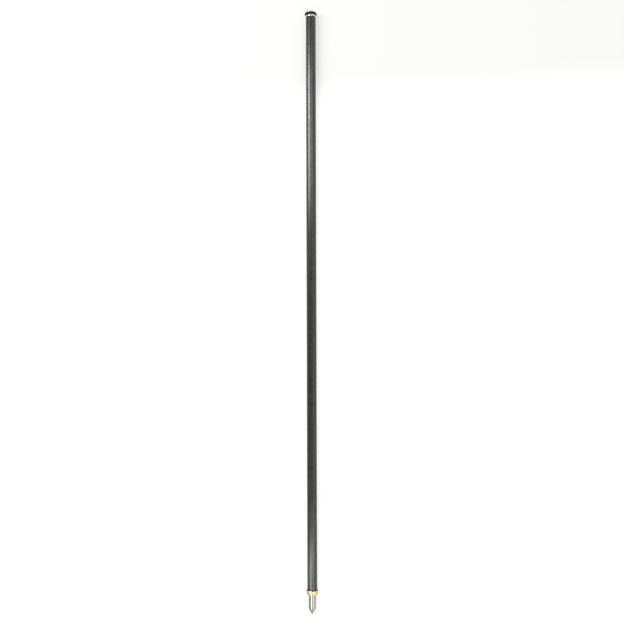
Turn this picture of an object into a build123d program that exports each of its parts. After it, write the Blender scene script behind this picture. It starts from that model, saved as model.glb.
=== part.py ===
from build123d import *
import os
from math import cos, radians, sin, tan

# A cello endpin lying on a flat surface, in millimetres. The rod runs along Y, with the steel
# point towards -Y and the head towards +Y. The origin is on the surface, under the middle of
# the rod. Half-sections are drawn with X as the radius and Y as the distance from the point.

# Carbon tube
tube_diameter = 10.0
tube_bore = 7.0
tube_length = 580.7
tube_edge = 0.3

# Steel spike, with a 60 degree point
spike_diameter = 7.5
spike_reach = 21.5
point_angle = 60.0
point_radius = 0.15
spike_edge = 0.2

# The spike's shank: a plain neck, a relief, then an M5 thread drawn at its full diameter
shank_diameter = 5.0
shank_length = 16.8
shank_edge = 0.5
relief_diameter = 4.0
relief_width = 1.0

# Brass collar, with a shallow cup that the tube's end stands in
collar_diameter = 12.0
collar_height = 4.0
collar_top_edge = 0.2
collar_bottom_edge = 0.4
cup_depth = 1.2
cup_edge = 0.15

# Threaded insert, bonded in the tube's lower end
insert_length = 18.0
insert_edge = 0.4
mouth_edge = 0.3

# End plug: a flange over the tube's end, a groove for the ring, a lip and a bonded spigot
flange_height = 1.6
flange_edge = 0.15
lip_diameter = 9.6
lip_height = 0.9
lip_edge = 0.3
spigot_length = 20.0
spigot_edge = 0.6

# Rubber stop ring, an O-ring of 7.6 by 2.4
ring_bore = 7.6
ring_section = 2.4

# Glue grooves round the bonded surfaces
glue_groove_count = 2
glue_groove_width = 1.4
glue_groove_depth = 0.25

# Clearances, each measured on the radius or on one side
bond_gap = 0.05
cup_clearance = 0.05
neck_clearance = 0.06
thread_clearance = 0.05
ring_bore_clearance = 0.05
ring_side_clearance = 0.05

# Radii that follow from the sizes above
tube_radius = tube_diameter / 2
bonded_radius = tube_bore / 2 - bond_gap
spike_radius = spike_diameter / 2
shank_radius = shank_diameter / 2
collar_radius = collar_diameter / 2
lip_radius = lip_diameter / 2
groove_radius = ring_bore / 2 - ring_bore_clearance
ring_centre_radius = (ring_bore + ring_section) / 2
ring_outer_radius = ring_bore / 2 + ring_section

# Places along the rod, as distances from the point
collar_top = spike_reach + collar_height
tube_start = collar_top - cup_depth
tube_end = tube_start + tube_length
groove_start = tube_end + flange_height
groove_end = groove_start + ring_section + 2 * ring_side_clearance
overall_length = groove_end + lip_height

# The rod lies on its ring and its collar
axis_height = max(ring_outer_radius, collar_radius)


def half_section(*corners):
    """A closed half-section through corners, each a distance from the point and a radius."""
    return make_face(Polyline(*[(radius, along) for along, radius in corners], close=True))


def eased(section, size, *places):
    """The half-section with the corners at some places chamfered."""
    corners = [
        section.vertices().sort_by_distance((radius, along))[0] for along, radius in places
    ]
    return chamfer(corners, size)


def turned(section):
    """The half-section turned round the rod's axis, and laid in its place on the surface."""
    return Pos(0, -overall_length / 2, axis_height) * revolve(section, Axis.Y)


def glue_grooves(start, length):
    """The strips that a row of glue grooves cuts from a bonded surface's half-section."""
    pitch = length / (glue_groove_count + 1)
    groove = Rectangle(2 * glue_groove_depth, glue_groove_width)
    return [
        Pos(bonded_radius, start + pitch * number) * groove
        for number in range(1, glue_groove_count + 1)
    ]


def carbon_tube():
    """The wound tube, open at both ends, with its outer edges broken."""
    section = half_section(
        (tube_start, tube_bore / 2),
        (tube_start, tube_radius),
        (tube_end, tube_radius),
        (tube_end, tube_bore / 2),
    )
    return turned(eased(section, tube_edge, (tube_start, tube_radius), (tube_end, tube_radius)))


def steel_spike():
    """The spike in one piece: point, cylinder, shoulder, neck, relief and threaded shank."""
    half_angle = radians(point_angle / 2)
    tip = JernArc((0, 0), (1, 0), point_radius, 90 - point_angle / 2)
    tip_radius = point_radius * cos(half_angle)
    tip_height = point_radius * (1 - sin(half_angle))
    cone_end = tip_height + (spike_radius - tip_radius) / tan(half_angle)
    shank_end = spike_reach + shank_length
    outline = Polyline(
        tip @ 1,
        (spike_radius, cone_end),
        (spike_radius, spike_reach),
        (shank_radius, spike_reach),
        (shank_radius, tube_start),
        (relief_diameter / 2, tube_start),
        (relief_diameter / 2, tube_start + relief_width),
        (shank_radius, tube_start + relief_width),
        (shank_radius, shank_end),
        (0, shank_end),
        (0, 0),
    )
    section = make_face(Curve() + [tip, outline])
    section = eased(section, spike_edge, (spike_reach, spike_radius))
    section = eased(section, shank_edge, (shank_end, shank_radius))
    return turned(section)


def brass_collar():
    """The collar: a bore for the spike's neck, and a cup over the tube's end."""
    bore_radius = shank_radius + neck_clearance
    cup_radius = tube_radius + cup_clearance
    section = half_section(
        (spike_reach, bore_radius),
        (spike_reach, collar_radius),
        (collar_top, collar_radius),
        (collar_top, cup_radius),
        (tube_start, cup_radius),
        (tube_start, bore_radius),
    )
    section = eased(section, collar_bottom_edge, (spike_reach, collar_radius))
    section = eased(section, collar_top_edge, (collar_top, collar_radius))
    section = eased(section, cup_edge, (collar_top, cup_radius))
    return turned(section)


def thread_insert():
    """The tapped insert, flush with the tube's lower end, with its hole right through."""
    hole_radius = shank_radius + thread_clearance
    insert_end = tube_start + insert_length
    section = half_section(
        (tube_start, hole_radius),
        (tube_start, bonded_radius),
        (insert_end, bonded_radius),
        (insert_end, hole_radius),
    )
    section = eased(section, insert_edge, (insert_end, bonded_radius))
    section = eased(section, mouth_edge, (tube_start, hole_radius))
    return turned(section - glue_grooves(tube_start, insert_length))


def end_plug():
    """The head: a spigot in the tube, a flange on its end, the ring's groove and the lip."""
    spigot_end = tube_end - spigot_length
    section = half_section(
        (spigot_end, 0),
        (spigot_end, bonded_radius),
        (tube_end, bonded_radius),
        (tube_end, tube_radius),
        (groove_start, tube_radius),
        (groove_start, groove_radius),
        (groove_end, groove_radius),
        (groove_end, lip_radius),
        (overall_length, lip_radius),
        (overall_length, 0),
    )
    section = eased(section, spigot_edge, (spigot_end, bonded_radius))
    section = eased(section, flange_edge, (tube_end, tube_radius), (groove_start, tube_radius))
    section = eased(section, lip_edge, (groove_end, lip_radius), (overall_length, lip_radius))
    return turned(section - glue_grooves(spigot_end, spigot_length))


def stop_o_ring():
    """The rubber ring, in the middle of the plug's groove."""
    groove_middle = (groove_start + groove_end) / 2
    return turned(Pos(ring_centre_radius, groove_middle) * Circle(ring_section / 2))


pieces = {
    "carbon_tube": carbon_tube(),
    "end_plug": end_plug(),
    "stop_o_ring": stop_o_ring(),
    "thread_insert": thread_insert(),
    "brass_collar": brass_collar(),
    "steel_spike": steel_spike(),
}

os.makedirs("parts", exist_ok=True)
for name, solid in pieces.items():
    solid.label = name
    export_step(solid, f"parts/{name}.step")
    print(f"{name}: {solid.volume:.1f} cubic mm")

print(f"length {overall_length:.2f}, axis {axis_height:.2f} above the surface")
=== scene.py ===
from math import cos, pi, radians, sin, tan

import bmesh
import bpy
from bpy.props import FloatProperty, FloatVectorProperty, PointerProperty
from mathutils import Euler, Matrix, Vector


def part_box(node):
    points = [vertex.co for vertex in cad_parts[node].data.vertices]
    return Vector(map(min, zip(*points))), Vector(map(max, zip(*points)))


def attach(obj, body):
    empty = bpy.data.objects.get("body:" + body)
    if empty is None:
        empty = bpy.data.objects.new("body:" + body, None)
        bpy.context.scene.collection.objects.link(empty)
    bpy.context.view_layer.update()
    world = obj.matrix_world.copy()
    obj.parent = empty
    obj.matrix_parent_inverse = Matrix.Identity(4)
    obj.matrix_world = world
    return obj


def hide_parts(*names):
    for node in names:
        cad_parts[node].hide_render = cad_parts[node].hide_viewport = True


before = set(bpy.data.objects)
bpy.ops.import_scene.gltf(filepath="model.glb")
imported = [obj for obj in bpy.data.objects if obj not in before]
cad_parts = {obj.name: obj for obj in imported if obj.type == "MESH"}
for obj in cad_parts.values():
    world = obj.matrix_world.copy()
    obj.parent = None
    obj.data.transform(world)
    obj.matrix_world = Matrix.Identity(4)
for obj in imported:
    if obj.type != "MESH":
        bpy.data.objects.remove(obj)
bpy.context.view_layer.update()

bl_info = {
    "name": "Cello Endpin",
    "version": (1, 0, 0),
    "blender": (4, 5, 0),
    "location": "3D View > Sidebar > Endpin",
    "description": "Builds a carbon-fibre cello endpin and the plain studio that it lies in",
    "category": "Add Mesh",
}

# The rod lies along Y, with its point towards -Y and its head towards +Y. Lengths are in metres.
MM = 0.001
MICRON = 0.000001


def span(node):
    """Where a CAD node starts and ends along the rod."""
    low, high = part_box(node)
    return low.y, high.y


# Places along the rod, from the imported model
TUBE_START, TUBE_END = span("carbon_tube")
COLLAR_START, COLLAR_END = span("brass_collar")
INSERT_START, INSERT_END = span("thread_insert")
SPIGOT_END, HEAD_END = span("end_plug")
RING_START, RING_END = span("stop_o_ring")
POINT, SHANK_END = span("steel_spike")
AXIS_HEIGHT = sum(corner.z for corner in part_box("stop_o_ring")) / 2

# Clearances on the radius or on one side, as in the CAD
BOND_GAP = 0.05 * MM
CUP_CLEARANCE = 0.05 * MM
NECK_CLEARANCE = 0.06 * MM
RING_CLEARANCE = 0.05 * MM

# Clearances of the threads: the insert's grooves outside the shank's radius, its ridges short of
# the spike's roots, and each flank of either thread back from the middle of the gap
GROOVE_CLEARANCE = 0.05 * MM
ROOT_CLEARANCE = 0.09 * MM
FLANK_CLEARANCE = 0.03 * MM

# Rounds on the corners of the pieces
INNER_EDGE_ROUND = 0.05 * MM
SPIGOT_ROUND = 0.6 * MM
FLANGE_ROUND = 0.15 * MM
GROOVE_ROUND = 0.1 * MM
LIP_INNER_ROUND = 0.25 * MM
LIP_OUTER_ROUND = 0.3 * MM
INSERT_START_ROUND = 0.1 * MM
INSERT_END_ROUND = 0.4 * MM
COLLAR_BORE_ROUND = 0.1 * MM
COLLAR_LOWER_ROUND = 0.4 * MM
COLLAR_UPPER_ROUND = 0.2 * MM
CUP_ROUND = 0.12 * MM
TIP_ROUND = 0.15 * MM
CONE_ROUND = 0.5 * MM
SHOULDER_ROUND = 0.25 * MM
NECK_ROUND = 0.1 * MM

# The insert's hole: how much wider its mouth and its far end are than the shank, and its flat rims
MOUTH_FLARE = 0.35 * MM
FAR_FLARE = 0.1 * MM
RIM_WIDTH = 0.03 * MM

# The glue grooves round a bonded surface
GLUE_GROOVE_COUNT = 2
GLUE_GROOVE_WIDTH = 1.4 * MM
GLUE_GROOVE_DEPTH = 0.25 * MM

# The spike's thread: the short band that joins it to the relief, and the slope of its end
THREAD_JOINT = 0.05 * MM
END_TAPER = 0.9
FLANK_SLOPE = tan(radians(30))

# The steps that close the spike's round end: how far each draws in, and its share of the way
TIP_STEPS = ((0.6, 0.6), (0.0, 0.4))

# How finely the shapes are drawn
ROUND_STEPS = 4
TURN_STEPS = 128
THREAD_STEPS = 64
RING_STEPS = 48
LONGEST_TUBE_EDGE = 20 * MM
SHARP_ANGLE = radians(38)

# How near points are when they count as one, or as lying on one plane
SAME_POINT = 0.0002 * MM
SAME_TIP_POINT = 0.0001 * MM
SAME_THREAD_POINT = 0.001 * MM
SAME_PLACE = 0.002 * MM

# Colours of what lies on the carbon and on the rubber
DUST_ON_CARBON = (0.35, 0.35, 0.34, 1.0)
DUST_ON_RUBBER = (0.2, 0.2, 0.2, 1.0)

# Two sets of scratches: how far each leans, in radians, and how thin it is. The other two
# numbers set how short and how close they are.
SCRATCHES = ((0.5, 9000.0), (-0.8, 7000.0))
SCRATCH_SHORTNESS, SCRATCH_CLOSENESS = 260.0, 900.0

# How much a turned mark also steps across an end face, and how fast a fibre changes along the rod
FACE_STEP = 0.7
FIBRE_CHANGE = 45.0

# Colours of the studio
CARD_WHITE = (1.0, 1.0, 1.0, 1.0)
TABLE_WHITE = (1.0, 1.0, 0.985, 1.0)
BACKDROP_WHITE = (1.0, 1.0, 0.99, 1.0)
LAMP_WHITE = (1.0, 1.0, 0.97)
TABLE_PAPER = (0.35, 0.35, 0.35, 1.0)
TABLE_PLAIN = (0.8, 0.8, 0.8, 1.0)

# Watts per square metre that make a lamp as bright as a card of brightness 1
LAMP_WATTS = 4

# Cards that only reflections see: name, size, middle, turn in degrees, brightness
CARDS = (
    ("left_card", (0.7, 1.0), (-0.75, 0.05, 0.36), (0, 90, 0), 0.18),
    ("left_card_foot", (0.7, 1.0), (-0.75, -0.951, 0.36), (0, 90, 0), 0.35),
    ("left_card_head", (0.7, 0.6), (-0.75, 0.851, 0.36), (0, 90, 0), 0.08),
    ("foot_card_left", (1.0, 0.9), (-0.512, -0.768, 0.001), (0, 0, 0), 0.42),
    ("foot_card_right", (0.6, 0.9), (0.288, -0.768, 0.001), (0, 0, 0), 0.9),
    ("foot_card_end", (1.0, 0.5), (0.25, -1.25, 0.25), (90, 0, 0), 0.8),
)

# Lamps round the rod: name, degrees to the right of straight up, distance from the rod's axis,
# place along the rod, size across and along, brightness
SOFTBOXES = (
    ("upper_left_head", -37, 0.72, 0.447, (0.70, 0.11), 7.2),
    ("upper_left_middle", -37, 0.72, 0.332, (0.70, 0.12), 5.0),
    ("upper_left_foot", -35, 0.72, 0.2475, (0.64, 0.049), 4.3),
    ("head_left", -30, 0.72, 0.66, (0.386, 0.22), 0.06),
    ("ceiling", 22, 0.9, 0.408, (0.84, 0.316), 1.55),
    ("right_panel", 58, 0.9, 0.29, (0.9, 1.82), 0.42),
    ("lower_left_rod", -19, 0.72, -0.5245, (0.48, 0.049), 9.7),
    ("lower_left_spike", -18.5, 0.72, -0.8225, (0.38, 0.535), 1.7),
    ("lower_far_left", -55, 0.72, -0.5225, (0.5, 0.051), 3.4),
    ("lower_middle", 31, 0.9, -0.573, (1.02, 0.058), 5.6),
    ("foot_near", 13, 0.9, -0.95, (0.5, 0.66), 0.35),
    ("foot_right", 45, 0.9, -0.95, (0.52, 0.66), 0.78),
    ("foot_far_right", 76, 0.9, -0.95, (0.46, 0.66), 0.5),
)

# The camera's sensor, in millimetres, and the nearest and farthest that it sees
SENSOR_WIDTH = 36.0
NEAREST_SEEN, FARTHEST_SEEN = 0.01, 50.0


def length(name, description, millimetres):
    """A length property, with its default given in millimetres."""
    return FloatProperty(
        name=name, description=description, default=millimetres * MM, min=0.0,
        precision=5, subtype="DISTANCE", unit="LENGTH",
    )


def angle(name, description, degrees):
    """An angle property, with its default given in degrees."""
    return FloatProperty(
        name=name, description=description, default=radians(degrees), subtype="ANGLE",
    )


def colour(name, description, *rgb):
    """A colour property."""
    return FloatVectorProperty(
        name=name, description=description, default=rgb, min=0.0, max=1.0, size=3,
        subtype="COLOR",
    )


class EndpinSizes(bpy.types.PropertyGroup):
    """Sizes of the endpin's pieces."""

    tube_diameter: length("Tube diameter", "Outside of the carbon tube", 10.0)
    tube_bore: length("Tube bore", "Inside of the carbon tube", 7.0)
    tube_edge: length("Tube edge", "Round on the tube's outer ends", 0.3)
    flange_width: length("Flange width", "The head's flange, along the rod", 1.6)
    lip_diameter: length("Lip diameter", "The head's end lip", 9.6)
    lip_width: length("Lip width", "The head's end lip, along the rod", 0.9)
    spigot_length: length("Spigot length", "The part of the head inside the tube", 20.0)
    ring_bore: length("Ring bore", "Inside of the rubber ring", 7.6)
    ring_section: length("Ring section", "Thickness of the rubber ring", 2.4)
    collar_diameter: length("Collar diameter", "Outside of the brass collar", 12.0)
    cup_depth: length("Cup depth", "How far the tube stands in the collar", 1.2)
    spike_diameter: length("Spike diameter", "Straight part of the steel spike", 7.5)
    spike_reach: length("Spike reach", "From the point to the collar", 21.5)
    point_angle: angle("Point angle", "Full angle of the spike's cone", 60)
    shank_diameter: length("Shank diameter", "The spike's plain neck", 5.0)
    thread_pitch: length("Thread pitch", "One turn of the spike's thread", 0.8)
    thread_crest: length("Thread crest", "Outside of the spike's thread", 4.92)
    thread_root: length("Thread root", "Root of the spike's thread", 4.0)
    relief_width: length("Relief width", "Groove between the neck and the thread", 1.0)
    winding_lead: length("Winding lead", "One turn of the tube's carbon tows", 25.3)


class EndpinColours(bpy.types.PropertyGroup):
    """Colours of the endpin's materials."""

    carbon: colour("Carbon", "Resin and fibre of the tube", 0.009, 0.009, 0.0086)
    rubber: colour("Rubber", "The stop ring", 0.006, 0.006, 0.0075)
    aluminium: colour("Head metal", "The turned head", 0.86, 0.86, 0.87)
    brass: colour("Brass", "The polished collar", 0.96, 0.75, 0.46)
    insert_brass: colour("Insert brass", "The tapped insert", 0.79, 0.63, 0.33)
    steel: colour("Steel", "The polished spike", 0.55, 0.55, 0.54)


class EndpinStudio(bpy.types.PropertyGroup):
    """The camera and the light."""

    camera_distance: length("Camera distance", "From the rod to the lens", 723.2)
    camera_side: angle("Camera side", "How far the camera leans to the rod's right", 10)
    camera_roll: angle("Camera roll", "How far the picture is turned", -0.16)
    aim_along: length("Aim along", "Where the camera looks, along the rod", 1.52)
    aim_across: length("Aim across", "Where the camera looks, across the rod", 0.5)
    field_of_view: angle("Field of view", "The camera's full angle of view", 47.2)
    room_light: FloatProperty(
        name="Room light", description="Brightness of the plain light all round",
        default=0.22, min=0.0,
    )
    floor_size: FloatProperty(
        name="Floor size", description="Half the side of the white table", default=8.0,
        subtype="DISTANCE", unit="LENGTH",
    )


class EndpinSettings(bpy.types.PropertyGroup):
    """Everything that the panel shows."""

    sizes: PointerProperty(type=EndpinSizes)
    colours: PointerProperty(type=EndpinColours)
    studio: PointerProperty(type=EndpinStudio)


def settings():
    """The scene's endpin settings."""
    return bpy.context.scene.endpin


# Node helpers


def fill_socket(tree, socket, value):
    """Gives an input a plain value, or links it to the socket that the value comes from."""
    if isinstance(value, bpy.types.NodeSocket):
        tree.links.new(value, socket)
    else:
        socket.default_value = value


def place_node(tree, kind, inputs=None, **options):
    """Adds a node to a tree, sets its options and fills its inputs."""
    made = tree.nodes.new("ShaderNode" + kind)
    for name, value in options.items():
        setattr(made, name, value)
    for key, value in (inputs or {}).items():
        fill_socket(tree, made.inputs[key], value)
    return made


def calculate(tree, operation, *values):
    """A Math node's result."""
    return place_node(tree, "Math", dict(enumerate(values)), operation=operation).outputs[0]


def weigh(tree, first, first_share, second, second_share):
    """The sum of two values, each taken by its own share."""
    rest = calculate(tree, "MULTIPLY", second, second_share)
    return calculate(tree, "MULTIPLY_ADD", first, first_share, rest)


def ramp(tree, value, low, high, bottom=0.0, top=1.0):
    """The value spread smoothly from one range to another."""
    made = place_node(
        tree, "MapRange",
        {"Value": value, "From Min": low, "From Max": high, "To Min": bottom, "To Max": top},
        interpolation_type="SMOOTHSTEP",
    )
    return made.outputs["Result"]


def blend_colours(tree, factor, first, second):
    """A mix of two colours, each of them a value or a socket."""
    inputs = {0: factor, 6: first, 7: second}
    return place_node(tree, "Mix", inputs, data_type="RGBA").outputs[2]


def noise(tree, vector, scale, detail=2.0, roughness=0.5):
    """A noise value over a vector."""
    inputs = {"Vector": vector, "Scale": scale, "Detail": detail, "Roughness": roughness}
    return place_node(tree, "TexNoise", inputs).outputs["Fac"]


def join_vector(tree, x, y, z):
    """A vector made of three values."""
    return place_node(tree, "CombineXYZ", {0: x, 1: y, 2: z}).outputs[0]


def object_point(tree):
    """The point that is shaded, on the piece's own coordinates."""
    return place_node(tree, "TexCoord").outputs["Object"]


def node_group(name, inputs, outputs, fill):
    """A shader node group with named sockets, built once and then reused."""
    if name in bpy.data.node_groups:
        return bpy.data.node_groups[name]
    tree = bpy.data.node_groups.new(name, "ShaderNodeTree")
    for socket_name, default in inputs.items():
        socket = tree.interface.new_socket(
            socket_name, in_out="INPUT", socket_type="NodeSocketFloat",
        )
        socket.default_value = default
    for socket_name in outputs:
        tree.interface.new_socket(socket_name, in_out="OUTPUT", socket_type="NodeSocketFloat")
    given = tree.nodes.new("NodeGroupInput")
    result = tree.nodes.new("NodeGroupOutput")
    for socket_name, socket in fill(tree, given.outputs).items():
        tree.links.new(socket, result.inputs[socket_name])
    return tree


def use_group(tree, group, inputs=None):
    """Places a node group in a tree and gives its outputs."""
    made = tree.nodes.new("ShaderNodeGroup")
    made.node_tree = group
    for key, value in (inputs or {}).items():
        fill_socket(tree, made.inputs[key], value)
    return made.outputs


# Effects that the materials share


def rod_place():
    """Group: a point's place along the rod, round it and away from its axis."""

    def fill(tree, _):
        centred = place_node(
            tree, "Mapping",
            {"Vector": object_point(tree), "Location": (0.0, 0.0, -AXIS_HEIGHT)},
        ).outputs[0]
        parts = place_node(tree, "SeparateXYZ", {0: centred}).outputs
        across = calculate(tree, "MULTIPLY", parts["X"], parts["X"])
        square = calculate(tree, "MULTIPLY_ADD", parts["Z"], parts["Z"], across)
        return {
            "Along": parts["Y"],
            "Round": calculate(tree, "ARCTAN2", parts["X"], parts["Z"]),
            "Radius": calculate(tree, "SQRT", square),
        }

    return node_group("Rod place", {}, ("Along", "Round", "Radius"), fill)


def turned_marks():
    """Group: the fine rings that a lathe tool or a polishing cloth leaves round a piece."""

    def fill(tree, given):
        place = use_group(tree, rod_place())
        path = calculate(tree, "MULTIPLY_ADD", place["Radius"], FACE_STEP, place["Along"])
        step = calculate(tree, "DIVIDE", path, given["Spacing"])
        sway, swing = (
            calculate(tree, "MULTIPLY", calculate(tree, wave, place["Round"]), given["Waver"])
            for wave in ("SINE", "COSINE")
        )
        vector = join_vector(tree, step, sway, swing)
        lines = noise(tree, vector, scale=1.0, detail=3.0, roughness=0.65)
        bands = noise(tree, vector, scale=0.11, detail=1.0)
        return {"Height": lines, "Streaks": weigh(tree, bands, 0.5, lines, 0.5)}

    return node_group(
        "Turned marks", {"Spacing": 100 * MICRON, "Waver": 0.4}, ("Height", "Streaks"), fill,
    )


def handled_surface():
    """Group: soft smudges and thin scratches from being handled."""

    def fill(tree, given):
        point = object_point(tree)
        smudge = noise(tree, point, given["Smudge Scale"], detail=4.0, roughness=0.6)
        scratches = None
        for lean, thinness in SCRATCHES:
            leaning = place_node(
                tree, "Mapping",
                {
                    "Vector": point,
                    "Rotation": (lean, lean / 2, lean),
                    "Scale": (thinness, SCRATCH_SHORTNESS, SCRATCH_CLOSENESS),
                },
            ).outputs[0]
            lines = noise(tree, leaning, scale=1.0, detail=1.0)
            cut = ramp(tree, lines, low=given["Scratch Cut"], high=0.86)
            if scratches is None:
                scratches = cut
            else:
                scratches = calculate(tree, "MAXIMUM", scratches, cut)
        return {"Smudge": ramp(tree, smudge, low=0.35, high=0.7), "Scratch": scratches}

    return node_group(
        "Handled surface", {"Smudge Scale": 120.0, "Scratch Cut": 0.72},
        ("Smudge", "Scratch"), fill,
    )


def dust_specks():
    """Group: a few pale specks of dust."""

    def fill(tree, given):
        point = object_point(tree)
        cells = place_node(tree, "TexVoronoi", {"Vector": point, "Scale": given["Scale"]})
        dots = ramp(tree, cells.outputs["Distance"], low=0.10, high=0.04)
        patches = noise(tree, point, given["Scale"], detail=0.0)
        chosen = ramp(tree, patches, low=given["Rarity"], high=0.74)
        return {"Dust": calculate(tree, "MULTIPLY", dots, chosen)}

    return node_group("Dust specks", {"Scale": 900.0, "Rarity": 0.66}, ("Dust",), fill)


def wound_tows():
    """Group: carbon tows wound both ways round the rod, over and under each other."""

    def fill(tree, given):
        place = use_group(tree, rod_place())
        turns = calculate(tree, "DIVIDE", place["Along"], given["Lead"])
        advance = calculate(tree, "MULTIPLY", turns, 2 * pi)
        hairs, waves = [], []
        for direction in ("ADD", "SUBTRACT"):
            phase = calculate(tree, direction, place["Round"], advance)
            vector = join_vector(
                tree,
                calculate(tree, "COSINE", phase),
                calculate(tree, "SINE", phase),
                calculate(tree, "MULTIPLY", place["Along"], FIBRE_CHANGE),
            )
            fine = noise(tree, vector, given["Fineness"], detail=3.0, roughness=0.75)
            broad = noise(tree, vector, scale=3.2, detail=2.0)
            hairs.append(weigh(tree, broad, 0.2, fine, 0.8))
            waves.append(calculate(tree, "SINE", calculate(tree, "MULTIPLY", phase, 2.0)))
        over = ramp(tree, calculate(tree, "MULTIPLY", *waves), low=-0.12, high=0.12)
        on_top = place_node(
            tree, "Mix", {0: over, 2: hairs[0], 3: hairs[1]}, data_type="FLOAT",
        ).outputs[0]
        stretched = place_node(
            tree, "Mapping", {"Vector": object_point(tree), "Scale": (1.0, 0.8, 1.0)},
        ).outputs[0]
        grain = noise(tree, stretched, given["Grain Scale"], detail=2.0, roughness=0.6)
        return {"Fibre": on_top, "Layer": over, "Grain": grain}

    return node_group(
        "Wound tows", {"Lead": 25.3 * MM, "Fineness": 12.0, "Grain Scale": 1300.0},
        ("Fibre", "Layer", "Grain"), fill,
    )


# Materials of the pieces


def new_material(name, **constants):
    """A material with a Principled shader whose plain values are set on its own sockets."""
    material = bpy.data.materials.new(name)
    material.use_nodes = True
    tree = material.node_tree
    shader = tree.nodes["Principled BSDF"]
    for key, value in constants.items():
        shader.inputs[key.replace("_", " ")].default_value = value
    return material, tree, shader


def finish_surface(tree, shader, base, roughness, height, strength, depth):
    """Links the varying colour, roughness and relief to the shader."""
    bump = place_node(tree, "Bump", {"Strength": strength, "Distance": depth, "Height": height})
    tree.links.new(base, shader.inputs["Base Color"])
    tree.links.new(roughness, shader.inputs["Roughness"])
    tree.links.new(bump.outputs[0], shader.inputs["Normal"])


def rgba(rgb, shade=1.0):
    """A colour with its alpha, made lighter or darker."""
    return (*(min(1.0, part * shade) for part in rgb), 1.0)


def carbon_finish():
    """Satin carbon fibre: dark tows under a thin resin skin, with a painted sheen on the tows that
    lie on top.
    """
    material, tree, shader = new_material(
        "satin wound carbon",
        Metallic=0.0, IOR=1.4, Coat_Weight=1.0, Coat_Roughness=0.2, Coat_IOR=1.7,
    )
    tows = use_group(tree, wound_tows(), {"Lead": settings().sizes.winding_lead})
    handled = use_group(tree, handled_surface(), {"Smudge Scale": 60.0})
    dust = use_group(tree, dust_specks(), {"Scale": 500.0})["Dust"]
    carbon = settings().colours.carbon

    mixed = weigh(tree, tows["Grain"], 0.3, tows["Fibre"], 0.7)
    mottled = ramp(tree, mixed, low=0.44, high=0.56)
    fibre = blend_colours(tree, mottled, rgba(carbon, 0.2), rgba(carbon, 2.6))
    # Tows that lie on top are painted lighter: a painted sheen that stands in for the light their
    # fibres catch, over the tows' own grain.
    top_tow_sheen = calculate(tree, "MULTIPLY", tows["Layer"], 0.3)
    tows_with_painted_sheen = blend_colours(tree, top_tow_sheen, fibre, rgba(carbon, 2.2))
    settled = calculate(tree, "MULTIPLY", dust, 0.5)
    dusty = blend_colours(tree, settled, tows_with_painted_sheen, DUST_ON_CARBON)

    gloss = ramp(tree, mottled, 0.0, 1.0, bottom=0.38, top=0.62)
    roughness = calculate(tree, "MULTIPLY_ADD", handled["Smudge"], 0.05, gloss)
    finish_surface(tree, shader, dusty, roughness, mottled, strength=0.8, depth=12 * MICRON)
    resin = ramp(tree, mottled, 0.0, 1.0, bottom=0.5, top=1.0)
    tree.links.new(resin, shader.inputs["Coat Weight"])
    return material


def rubber_finish():
    """Glossy black rubber with a little bloom and dust."""
    material, tree, shader = new_material("glossy rubber", Metallic=0.0, IOR=1.3)
    handled = use_group(tree, handled_surface(), {"Smudge Scale": 400.0})
    dust = use_group(tree, dust_specks(), {"Scale": 1400.0})["Dust"]
    rubber = settings().colours.rubber

    bloom = blend_colours(tree, handled["Smudge"], rgba(rubber), rgba(rubber, 1.8))
    settled = calculate(tree, "MULTIPLY", dust, 0.3)
    dusty = blend_colours(tree, settled, bloom, DUST_ON_RUBBER)
    roughness = ramp(tree, handled["Smudge"], 0.0, 1.0, bottom=0.1, top=0.18)
    skin = noise(tree, object_point(tree), scale=1500.0, detail=3.0)
    finish_surface(tree, shader, dusty, roughness, skin, strength=0.2, depth=10 * MICRON)
    return material


def turned_metal(name, rgb, spacing, depth, polish, dull):
    """A turned metal: rings from the tool, smudges and thin scratches over its own colour."""
    material, tree, shader = new_material(name, Metallic=1.0)
    marks = use_group(tree, turned_marks(), {"Spacing": spacing})
    handled = use_group(tree, handled_surface(), {"Smudge Scale": 260.0})

    bright = ramp(tree, marks["Streaks"], low=0.3, high=0.7)
    streaks = blend_colours(tree, bright, rgba(rgb, 0.93), rgba(rgb, 1.04))
    fingered = calculate(tree, "MULTIPLY", handled["Smudge"], 0.35)
    base = blend_colours(tree, fingered, streaks, rgba(rgb, 0.85))

    tooled = ramp(tree, marks["Streaks"], low=0.3, high=0.7, bottom=polish, top=dull)
    worn = calculate(tree, "MULTIPLY_ADD", handled["Scratch"], 0.12, tooled)
    roughness = calculate(tree, "MULTIPLY_ADD", handled["Smudge"], 0.04, worn)
    scored = calculate(tree, "MULTIPLY", handled["Scratch"], 0.6)
    relief = calculate(tree, "SUBTRACT", marks["Height"], scored)
    finish_surface(tree, shader, base, roughness, relief, strength=0.5, depth=depth)
    return material


# Shape helpers. A half-section is drawn with X as the radius and Y as the place along the rod.


def draw_outline(mesh, corners, closed):
    """Draws a half-section through corners, each a place along the rod, a radius and a round."""
    points = [mesh.verts.new((radius, along, 0.0)) for along, radius, _ in corners]
    following = points[1:] + points[:1] if closed else points[1:]
    for first, second in zip(points, following):
        mesh.edges.new((first, second))
    for point, (_, _, ease) in zip(points, corners):
        if ease:
            bmesh.ops.bevel(
                mesh, geom=[point], offset=ease, offset_type="OFFSET", affect="VERTICES",
                segments=ROUND_STEPS, profile=0.5, material=-1,
            )


def split_long_edges(mesh, longest):
    """Divides the outline's long straight edges, so that the surface has even faces."""
    for edge in mesh.edges[:]:
        cuts = int(edge.calc_length() / longest)
        if cuts:
            bmesh.ops.subdivide_edges(mesh, edges=[edge], cuts=cuts)


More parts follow.
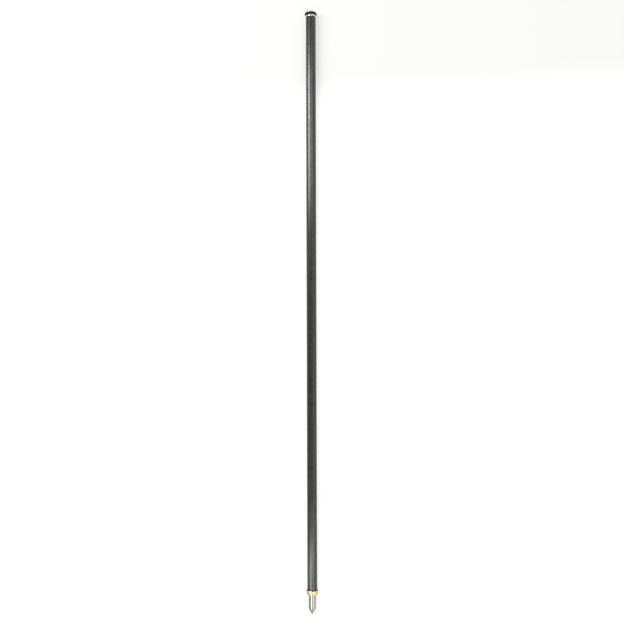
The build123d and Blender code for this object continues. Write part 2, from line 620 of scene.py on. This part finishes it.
def turn_outline(mesh):
    """Turns everything drawn so far into a surface round the rod's axis."""
    bmesh.ops.spin(
        mesh, geom=mesh.verts[:] + mesh.edges[:], cent=(0, 0, 0), axis=(0, 1, 0), dvec=(0, 0, 0),
        angle=2 * pi, steps=TURN_STEPS, use_merge=True, use_duplicate=False,
    )
    bmesh.ops.remove_doubles(mesh, verts=mesh.verts[:], dist=SAME_POINT)


def finish_piece(mesh, name, material, body, nodes):
    """Makes the drawn surface into a piece that rides on a body and stands for CAD nodes."""
    bmesh.ops.recalc_face_normals(mesh, faces=mesh.faces[:])
    bmesh.ops.translate(mesh, verts=mesh.verts[:], vec=(0.0, 0.0, AXIS_HEIGHT))
    loose = [edge for edge in mesh.edges if not edge.is_manifold]
    if loose:
        raise RuntimeError(f"{name} isn't closed: {len(loose)} edges are open")
    for face in mesh.faces:
        face.smooth = True
    data = bpy.data.meshes.new(name)
    mesh.to_mesh(data)
    mesh.free()
    data.set_sharp_from_angle(angle=SHARP_ANGLE)
    data.materials.append(material)
    piece = bpy.data.objects.new(name, data)
    bpy.context.scene.collection.objects.link(piece)
    even = piece.modifiers.new("Even shading", "WEIGHTED_NORMAL")
    even.keep_sharp = True
    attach(piece, body)
    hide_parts(*nodes)


def own_points(mesh, before):
    """The points drawn in a mesh since the set of its points was noted."""
    return [point for point in mesh.verts if point not in before]


def own_geometry(mesh, before):
    """Everything drawn in a mesh since the set of its points was noted."""
    points = own_points(mesh, before)
    faces = {face for point in points for face in point.link_faces}
    edges = {edge for point in points for edge in point.link_edges}
    return points + list(edges) + list(faces)


def points_in(geometry):
    """The points among a bmesh operator's results."""
    return [item for item in geometry if isinstance(item, bmesh.types.BMVert)]


def thread_mean(sizes):
    """The radius at which a metric thread's ridge and groove are equally wide."""
    return sizes.shank_diameter / 2 - 3 / 8 * sizes.thread_pitch * cos(radians(30))


def helix(mesh, start, end, outer, inner, clearance, pitch, mean_radius):
    """A screw thread's surface between two places, ridged out to one radius and down to another.

    It gives the thread's points. The turns are counted from the tube's end, so that every thread
    of one pitch is in register.
    """

    def half_width(radius):
        return pitch / 4 - (radius - mean_radius) * FLANK_SLOPE + clearance

    ridge, valley = half_width(outer), half_width(inner)
    section = (
        (-pitch / 2, inner), (-valley, inner), (-ridge, outer),
        (ridge, outer), (valley, inner), (pitch / 2, inner),
    )
    spare_turns = 3
    turns = int((end - start) / pitch) + spare_turns
    first = TUBE_START - pitch * (int((TUBE_START - start) / pitch) + 1)
    points = [mesh.verts.new((radius, along, 0.0)) for along, radius in section]
    edges = [mesh.edges.new(pair) for pair in zip(points, points[1:])]
    before = set(mesh.verts) - set(points)
    bmesh.ops.spin(
        mesh, geom=points + edges, cent=(0, 0, 0), axis=(0, 1, 0),
        dvec=(0, pitch / THREAD_STEPS, 0), angle=2 * pi, steps=THREAD_STEPS,
        use_merge=False, use_duplicate=False,
    )
    turn = own_geometry(mesh, before)
    for number in range(1, turns):
        copy = bmesh.ops.duplicate(mesh, geom=turn)["geom"]
        bmesh.ops.translate(mesh, verts=points_in(copy), vec=(0.0, pitch * number, 0.0))
    bmesh.ops.remove_doubles(mesh, verts=own_points(mesh, before), dist=SAME_THREAD_POINT)
    bmesh.ops.translate(mesh, verts=own_points(mesh, before), vec=(0.0, first, 0.0))
    for place, side in ((start, -1), (end, 1)):
        bmesh.ops.bisect_plane(
            mesh, geom=own_geometry(mesh, before), dist=SAME_POINT,
            plane_co=(0, place, 0), plane_no=(0, side, 0), clear_outer=True,
        )
    return own_points(mesh, before)


def limit_radius(points, allowed, smallest=False):
    """Draws points in, or out, to the radius allowed at their place along the rod."""
    for point in points:
        radius = Vector((point.co.x, point.co.z)).length
        limit = allowed(point.co.y)
        beyond = radius < limit if smallest else radius > limit
        if beyond:
            point.co.x *= limit / radius
            point.co.z *= limit / radius


def rim(mesh, place):
    """The open edges that lie at one place along the rod."""
    return [
        edge for edge in mesh.edges
        if edge.is_boundary and all(abs(point.co.y - place) < SAME_PLACE for point in edge.verts)
    ]


def glue_grooves(start, length_along, radius):
    """The corners of the shallow grooves that hold the glue round a bonded surface."""
    corners = []
    for number in range(1, GLUE_GROOVE_COUNT + 1):
        middle = start + length_along * number / (GLUE_GROOVE_COUNT + 1)
        low, high = middle - GLUE_GROOVE_WIDTH / 2, middle + GLUE_GROOVE_WIDTH / 2
        floor = radius - GLUE_GROOVE_DEPTH
        corners += [(low, radius, 0), (low, floor, 0), (high, floor, 0), (high, radius, 0)]
    return corners


def soften_point(mesh, place, size):
    """Grinds the sharp point back to a small round end."""
    bmesh.ops.bisect_plane(
        mesh, geom=mesh.verts[:] + mesh.edges[:] + mesh.faces[:], dist=SAME_TIP_POINT,
        plane_co=(0, place + size / 2, 0), plane_no=(0, -1, 0), clear_outer=True,
    )
    end = rim(mesh, place + size / 2)
    for scale, step in TIP_STEPS:
        ring = [item for item in end if isinstance(item, bmesh.types.BMEdge) and item.is_boundary]
        end = bmesh.ops.extrude_edge_only(mesh, edges=ring)["geom"]
        for point in points_in(end):
            point.co = (point.co.x * scale, point.co.y - step * size / 2, point.co.z * scale)
    bmesh.ops.remove_doubles(mesh, verts=mesh.verts[:], dist=SAME_POINT)


# Operators, one for each piece


class ENDPIN_OT_wound_tube(bpy.types.Operator):
    """Make the wound carbon tube"""

    bl_idname = "endpin.wound_tube"
    bl_label = "Wound tube"

    def execute(self, context):
        sizes = settings().sizes
        outer, bore = sizes.tube_diameter / 2, sizes.tube_bore / 2
        mesh = bmesh.new()
        draw_outline(
            mesh,
            (
                (TUBE_START, bore, INNER_EDGE_ROUND),
                (TUBE_START, outer, sizes.tube_edge),
                (TUBE_END, outer, sizes.tube_edge),
                (TUBE_END, bore, INNER_EDGE_ROUND),
            ),
            closed=True,
        )
        split_long_edges(mesh, LONGEST_TUBE_EDGE)
        turn_outline(mesh)
        finish_piece(mesh, "wound_tube", carbon_finish(), "shaft", ["carbon_tube"])
        return {"FINISHED"}


class ENDPIN_OT_head(bpy.types.Operator):
    """Make the turned head, with its flange, ring groove, lip and spigot"""

    bl_idname = "endpin.head"
    bl_label = "Head"

    def execute(self, context):
        sizes, colours = settings().sizes, settings().colours
        flange = sizes.tube_diameter / 2
        spigot = sizes.tube_bore / 2 - BOND_GAP
        lip = sizes.lip_diameter / 2
        groove = sizes.ring_bore / 2 - RING_CLEARANCE
        flange_end = TUBE_END + sizes.flange_width
        lip_start = HEAD_END - sizes.lip_width
        mesh = bmesh.new()
        draw_outline(
            mesh,
            (
                (SPIGOT_END, 0.0, 0),
                (SPIGOT_END, spigot, SPIGOT_ROUND),
                *glue_grooves(SPIGOT_END, sizes.spigot_length, spigot),
                (TUBE_END, spigot, 0),
                (TUBE_END, flange, FLANGE_ROUND),
                (flange_end, flange, FLANGE_ROUND),
                (flange_end, groove, GROOVE_ROUND),
                (lip_start, groove, GROOVE_ROUND),
                (lip_start, lip, LIP_INNER_ROUND),
                (HEAD_END, lip, LIP_OUTER_ROUND),
                (HEAD_END, 0.0, 0),
            ),
            closed=False,
        )
        turn_outline(mesh)
        metal = turned_metal(
            "turned head metal", colours.aluminium,
            spacing=90 * MICRON, depth=1.2 * MICRON, polish=0.06, dull=0.11,
        )
        finish_piece(mesh, "ringed_head", metal, "shaft", ["end_plug"])
        return {"FINISHED"}


class ENDPIN_OT_stop_ring(bpy.types.Operator):
    """Make the rubber stop ring"""

    bl_idname = "endpin.stop_ring"
    bl_label = "Stop ring"

    def execute(self, context):
        sizes = settings().sizes
        section = sizes.ring_section / 2
        mesh = bmesh.new()
        bmesh.ops.create_circle(mesh, cap_ends=False, segments=RING_STEPS, radius=section)
        centre = (sizes.ring_bore / 2 + section, (RING_START + RING_END) / 2, 0.0)
        bmesh.ops.translate(mesh, verts=mesh.verts[:], vec=centre)
        turn_outline(mesh)
        finish_piece(mesh, "rubber_ring", rubber_finish(), "shaft", ["stop_o_ring"])
        return {"FINISHED"}


class ENDPIN_OT_tapped_insert(bpy.types.Operator):
    """Make the brass insert, with its glue grooves and its tapped hole"""

    bl_idname = "endpin.tapped_insert"
    bl_label = "Tapped insert"

    def execute(self, context):
        sizes, colours = settings().sizes, settings().colours
        outer = sizes.tube_bore / 2 - BOND_GAP
        mouth = sizes.shank_diameter / 2 + MOUTH_FLARE
        far_hole = sizes.shank_diameter / 2 + FAR_FLARE
        mesh = bmesh.new()
        draw_outline(
            mesh,
            (
                (INSERT_START, mouth + RIM_WIDTH, 0),
                (INSERT_START, outer, INSERT_START_ROUND),
                *glue_grooves(INSERT_START, INSERT_END - INSERT_START, outer),
                (INSERT_END, outer, INSERT_END_ROUND),
                (INSERT_END, far_hole + RIM_WIDTH, 0),
            ),
            closed=False,
        )
        turn_outline(mesh)
        hole = helix(
            mesh, INSERT_START, INSERT_END, sizes.shank_diameter / 2 + GROOVE_CLEARANCE,
            sizes.thread_root / 2 + ROOT_CLEARANCE, FLANK_CLEARANCE, sizes.thread_pitch,
            thread_mean(sizes),
        )
        limit_radius(
            hole,
            lambda place: max(mouth - (place - INSERT_START), far_hole - (INSERT_END - place)),
            smallest=True,
        )
        for place, side in ((INSERT_START, -1), (INSERT_END, 1)):
            bmesh.ops.triangle_fill(
                mesh, edges=rim(mesh, place), normal=(0, side, 0), use_beauty=True,
            )
        metal = turned_metal(
            "satin insert brass", colours.insert_brass,
            spacing=150 * MICRON, depth=10 * MICRON, polish=0.26, dull=0.4,
        )
        finish_piece(mesh, "tapped_insert", metal, "shaft", ["thread_insert"])
        return {"FINISHED"}


class ENDPIN_OT_collar(bpy.types.Operator):
    """Make the brass collar, with its bore and the cup for the tube's end"""

    bl_idname = "endpin.collar"
    bl_label = "Collar"

    def execute(self, context):
        sizes, colours = settings().sizes, settings().colours
        outer = sizes.collar_diameter / 2
        bore = sizes.shank_diameter / 2 + NECK_CLEARANCE
        cup = sizes.tube_diameter / 2 + CUP_CLEARANCE
        cup_floor = COLLAR_END - sizes.cup_depth
        mesh = bmesh.new()
        draw_outline(
            mesh,
            (
                (COLLAR_START, bore, COLLAR_BORE_ROUND),
                (COLLAR_START, outer, COLLAR_LOWER_ROUND),
                (COLLAR_END, outer, COLLAR_UPPER_ROUND),
                (COLLAR_END, cup, CUP_ROUND),
                (cup_floor, cup, 0),
                (cup_floor, bore, COLLAR_BORE_ROUND),
            ),
            closed=True,
        )
        turn_outline(mesh)
        metal = turned_metal(
            "polished brass", colours.brass,
            spacing=120 * MICRON, depth=0.6 * MICRON, polish=0.06, dull=0.12,
        )
        finish_piece(mesh, "turned_collar", metal, "collar", ["brass_collar"])
        return {"FINISHED"}


class ENDPIN_OT_spike(bpy.types.Operator):
    """Make the steel spike: ground point, cylinder, neck and threaded shank"""

    bl_idname = "endpin.spike"
    bl_label = "Spike"

    def execute(self, context):
        sizes, colours = settings().sizes, settings().colours
        radius = sizes.spike_diameter / 2
        neck = sizes.shank_diameter / 2
        root = sizes.thread_root / 2
        crest = sizes.thread_crest / 2
        shoulder = POINT + sizes.spike_reach
        cone_end = POINT + radius / tan(sizes.point_angle / 2)
        thread_start = TUBE_START + sizes.relief_width
        joint = thread_start - THREAD_JOINT
        mesh = bmesh.new()
        draw_outline(
            mesh,
            (
                (POINT - TIP_ROUND, 0.0, 0),
                (cone_end - TIP_ROUND, radius, CONE_ROUND),
                (shoulder, radius, SHOULDER_ROUND),
                (shoulder, neck, 0),
                (TUBE_START, neck, NECK_ROUND),
                (TUBE_START, root, 0),
                (joint, root, 0),
            ),
            closed=False,
        )
        turn_outline(mesh)
        soften_point(mesh, POINT, TIP_ROUND)
        shank = helix(
            mesh, thread_start, SHANK_END, crest, root, -FLANK_CLEARANCE, sizes.thread_pitch,
            thread_mean(sizes),
        )
        limit_radius(
            shank,
            lambda place: root + min(place - thread_start, END_TAPER * (SHANK_END - place)),
        )
        bmesh.ops.bridge_loops(mesh, edges=rim(mesh, joint) + rim(mesh, thread_start))
        bmesh.ops.holes_fill(mesh, edges=rim(mesh, SHANK_END), sides=0)
        metal = turned_metal(
            "polished steel", colours.steel,
            spacing=100 * MICRON, depth=0.4 * MICRON, polish=0.05, dull=0.10,
        )
        finish_piece(mesh, "threaded_spike", metal, "spike", ["steel_spike"])
        return {"FINISHED"}


# The studio


def empty_tree(owner, output):
    """Empties the nodes of a material or world, and gives its tree and its surface socket."""
    owner.use_nodes = True
    tree = owner.node_tree
    tree.nodes.clear()
    return tree, place_node(tree, output).inputs["Surface"]


def stage_plane(name, size, location, turn, material):
    """A flat sheet that stands in the studio and isn't part of the object."""
    mesh = bmesh.new()
    bmesh.ops.create_grid(mesh, x_segments=1, y_segments=1, size=0.5)
    bmesh.ops.scale(mesh, verts=mesh.verts[:], vec=(size[0], size[1], 1.0))
    matrix = Euler([radians(degrees) for degrees in turn]).to_matrix()
    bmesh.ops.rotate(mesh, verts=mesh.verts[:], matrix=matrix)
    bmesh.ops.translate(mesh, verts=mesh.verts[:], vec=location)
    data = bpy.data.meshes.new(name)
    mesh.to_mesh(data)
    mesh.free()
    data.materials.append(material)
    sheet = bpy.data.objects.new(name, data)
    bpy.context.scene.collection.objects.link(sheet)
    return sheet


def camera_sees(tree):
    """1 for a ray from the camera, and else 0."""
    return place_node(tree, "LightPath").outputs["Is Camera Ray"]


def table_material():
    """A white table: the camera sees it glow white, with soft shadows, and other rays see it plain.

    The glow is weaker by the head, so that the shadows there are deeper, and full far away.
    """
    material = bpy.data.materials.new("white table")
    tree, surface = empty_tree(material, "OutputMaterial")
    point = object_point(tree)
    along = place_node(tree, "SeparateXYZ", {0: point}).outputs["Y"]
    near = ramp(tree, along, low=0.205, high=0.245, bottom=0.76, top=0.59)
    distance = place_node(tree, "VectorMath", {0: point}, operation="LENGTH").outputs["Value"]
    far = ramp(tree, distance, low=0.5, high=1.2)
    missing = calculate(tree, "SUBTRACT", 1.0, near)
    level = calculate(tree, "MULTIPLY_ADD", far, missing, near)
    glow = place_node(tree, "Emission", {"Color": TABLE_WHITE, "Strength": level})
    paper = place_node(tree, "BsdfDiffuse", {"Color": TABLE_PAPER})
    shown = place_node(tree, "AddShader", {0: glow.outputs[0], 1: paper.outputs[0]})
    plain = place_node(tree, "BsdfDiffuse", {"Color": TABLE_PLAIN})
    mixed = place_node(
        tree, "MixShader", {0: camera_sees(tree), 1: plain.outputs[0], 2: shown.outputs[0]},
    )
    tree.links.new(mixed.outputs[0], surface)
    return material


def card_material(name, brightness):
    """A plain card that only reflections see."""
    material = bpy.data.materials.new(name)
    tree, surface = empty_tree(material, "OutputMaterial")
    glow = place_node(tree, "Emission", {"Color": CARD_WHITE, "Strength": brightness})
    tree.links.new(glow.outputs[0], surface)
    return material


def light_the_world(level):
    """Plain light all round, and a white backdrop for the camera."""
    world = bpy.data.worlds.new("plain studio")
    bpy.context.scene.world = world
    tree, surface = empty_tree(world, "OutputWorld")
    shade = blend_colours(tree, camera_sees(tree), (level, level, level, 1.0), BACKDROP_WHITE)
    sky = place_node(tree, "Background", {"Color": shade, "Strength": 1.0})
    tree.links.new(sky.outputs[0], surface)


def softbox(name, turn, distance, along, size, brightness):
    """A soft rectangular lamp that faces the rod, with its size given across and along."""
    lamp = bpy.data.lights.new(name, "AREA")
    lamp.shape = "RECTANGLE"
    lamp.size, lamp.size_y = size
    lamp.energy = brightness * size[0] * size[1] * LAMP_WATTS
    lamp.color = LAMP_WHITE
    holder = bpy.data.objects.new(name, lamp)
    holder.location = (distance * sin(turn), along, AXIS_HEIGHT + distance * cos(turn))
    holder.rotation_euler = (0.0, turn, 0.0)
    holder.visible_camera = False
    bpy.context.scene.collection.objects.link(holder)


def place_camera(studio):
    """The camera, above the rod and leaning a little to its right."""
    camera = bpy.data.objects.new("camera", bpy.data.cameras.new("camera"))
    camera.data.sensor_width = SENSOR_WIDTH
    camera.data.lens = SENSOR_WIDTH / 2 / tan(studio.field_of_view / 2)
    camera.data.clip_start, camera.data.clip_end = NEAREST_SEEN, FARTHEST_SEEN
    aim = Vector((studio.aim_across, studio.aim_along, AXIS_HEIGHT))
    side = studio.camera_side
    camera.location = aim + studio.camera_distance * Vector((sin(side), 0.0, cos(side)))
    lean = Euler((0.0, side, 0.0)).to_matrix()
    roll = Euler((0.0, 0.0, studio.camera_roll)).to_matrix()
    camera.rotation_euler = (lean @ roll).to_euler()
    bpy.context.scene.collection.objects.link(camera)
    bpy.context.scene.camera = camera


class ENDPIN_OT_studio(bpy.types.Operator):
    """Make the white table, the lamps, the backdrop and the camera"""

    bl_idname = "endpin.studio"
    bl_label = "Studio"

    def execute(self, context):
        studio = settings().studio
        side = 2 * studio.floor_size
        stage_plane("white_table", (side, side), (0, 0, 0), (0, 0, 0), table_material())
        for name, size, location, turn, brightness in CARDS:
            card = stage_plane(name, size, location, turn, card_material(name, brightness))
            card.visible_camera = False
            card.visible_shadow = False
            card.visible_diffuse = False
        light_the_world(studio.room_light)
        for name, degrees, distance, along, size, brightness in SOFTBOXES:
            softbox(name, radians(degrees), distance, along, size, brightness)
        place_camera(studio)
        context.scene.view_settings.view_transform = "Standard"
        return {"FINISHED"}


class ENDPIN_PT_panel(bpy.types.Panel):
    """The endpin's sidebar panel"""

    bl_idname = "ENDPIN_PT_panel"
    bl_label = "Cello Endpin"
    bl_space_type = "VIEW_3D"
    bl_region_type = "UI"
    bl_category = "Endpin"

    def draw(self, context):
        layout = self.layout
        for operator in OPERATORS:
            layout.operator(operator.bl_idname)
        for group in (settings().sizes, settings().colours, settings().studio):
            box = layout.box()
            for name in group.bl_rna.properties.keys():
                if name not in ("rna_type", "name"):
                    box.prop(group, name)


OPERATORS = (
    ENDPIN_OT_wound_tube, ENDPIN_OT_head, ENDPIN_OT_stop_ring, ENDPIN_OT_tapped_insert,
    ENDPIN_OT_collar, ENDPIN_OT_spike, ENDPIN_OT_studio,
)
CLASSES = (EndpinSizes, EndpinColours, EndpinStudio, EndpinSettings, *OPERATORS, ENDPIN_PT_panel)


def register():
    """Registers the classes and the scene's settings."""
    for item in CLASSES:
        bpy.utils.register_class(item)
    bpy.types.Scene.endpin = PointerProperty(type=EndpinSettings)


def unregister():
    """Takes the settings and the classes away again."""
    del bpy.types.Scene.endpin
    for item in reversed(CLASSES):
        bpy.utils.unregister_class(item)


def main():
    """Builds every piece and the studio."""
    register()
    bpy.ops.endpin.wound_tube()
    bpy.ops.endpin.head()
    bpy.ops.endpin.stop_ring()
    bpy.ops.endpin.tapped_insert()
    bpy.ops.endpin.collar()
    bpy.ops.endpin.spike()
    bpy.ops.endpin.studio()


if __name__ == "__main__":
    main()
